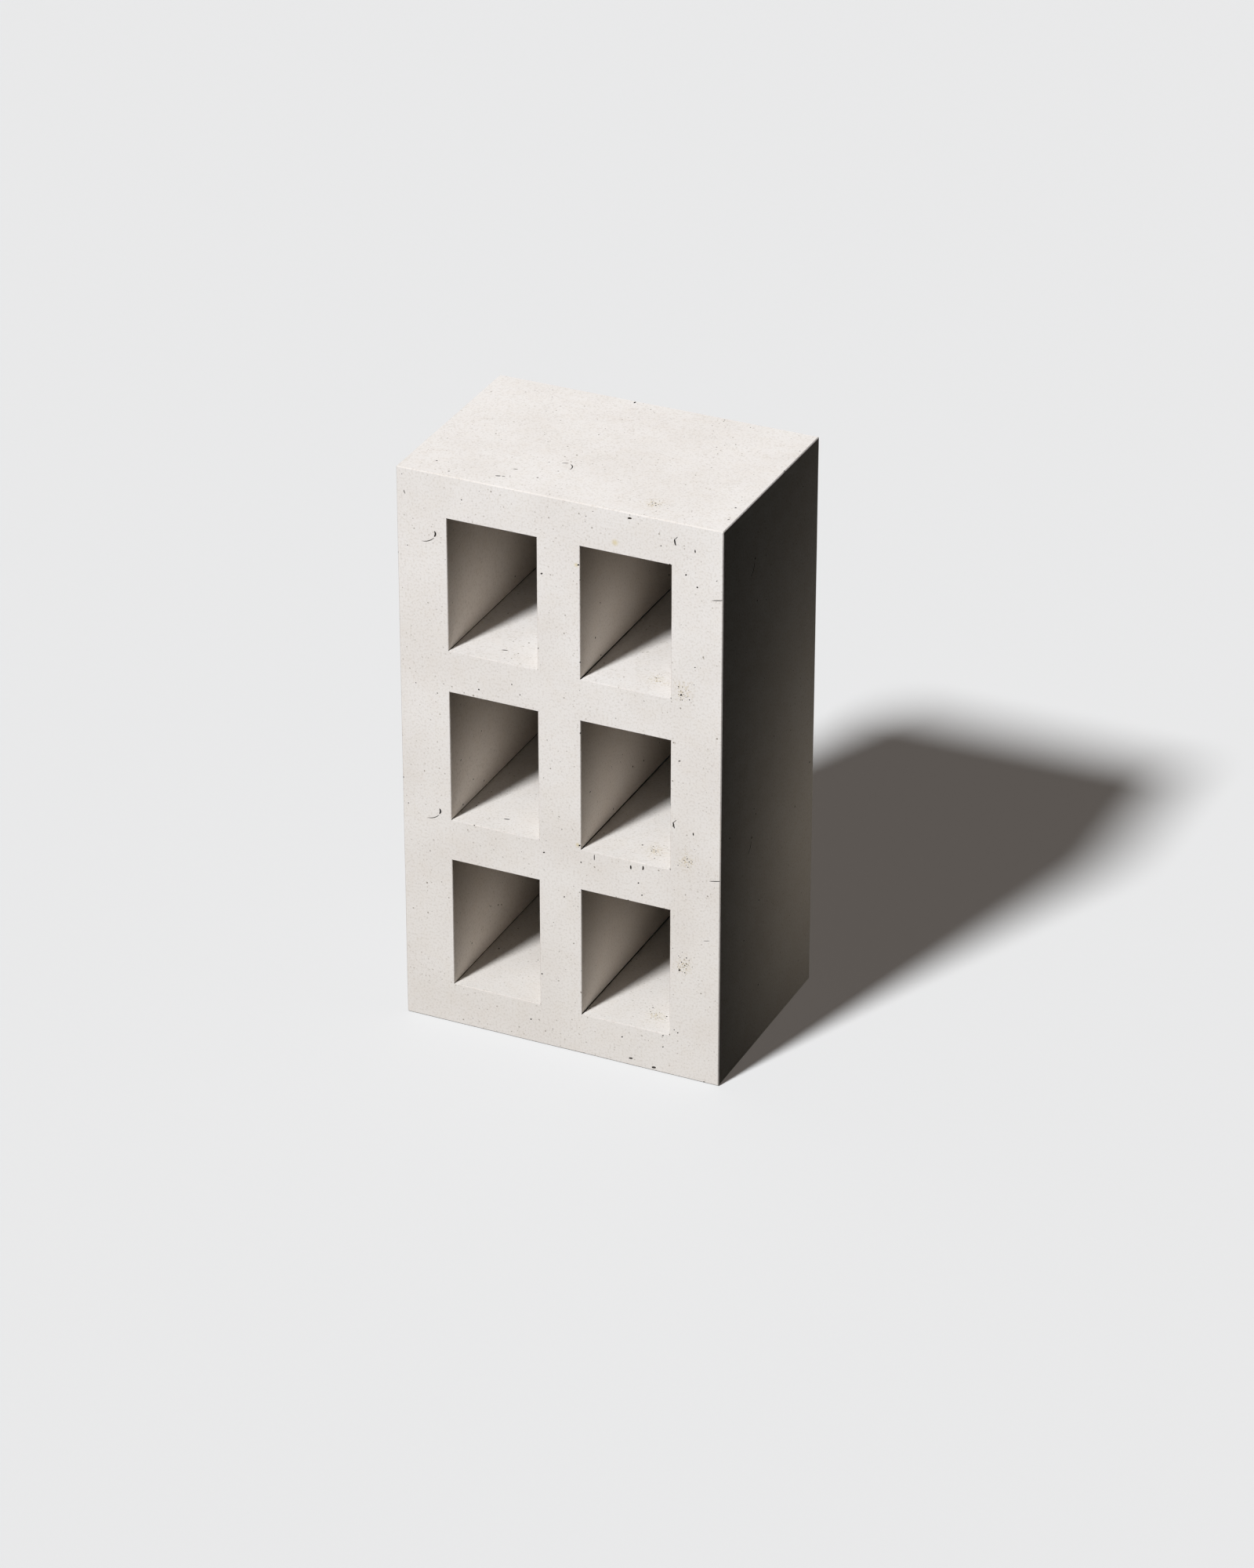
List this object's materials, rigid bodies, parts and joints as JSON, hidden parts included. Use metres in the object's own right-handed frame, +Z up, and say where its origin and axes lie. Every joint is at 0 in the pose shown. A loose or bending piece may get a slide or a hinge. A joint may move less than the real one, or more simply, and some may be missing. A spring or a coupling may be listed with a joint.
{
  "type": "hollow concrete block",
  "caption": "Pale cast concrete masonry block standing on end: a crisp rectangular prism pierced from front to back by a grid of straight rectangular cells.",
  "frame": {"origin": "centre of the end that the block stands on", "axes": "+Z up along the block's length, +X across its columns of cells, +Y along the cells, from the front face to the back face"},
  "size_m": [0.225, 0.15, 0.4],
  "materials": {
    "cast_concrete": "matte, smooth-cast, with pinholes and hairline marks"
  },
  "bodies": {
    "root": {"concrete_block": "cast_concrete"}
  },
  "joints": []
}
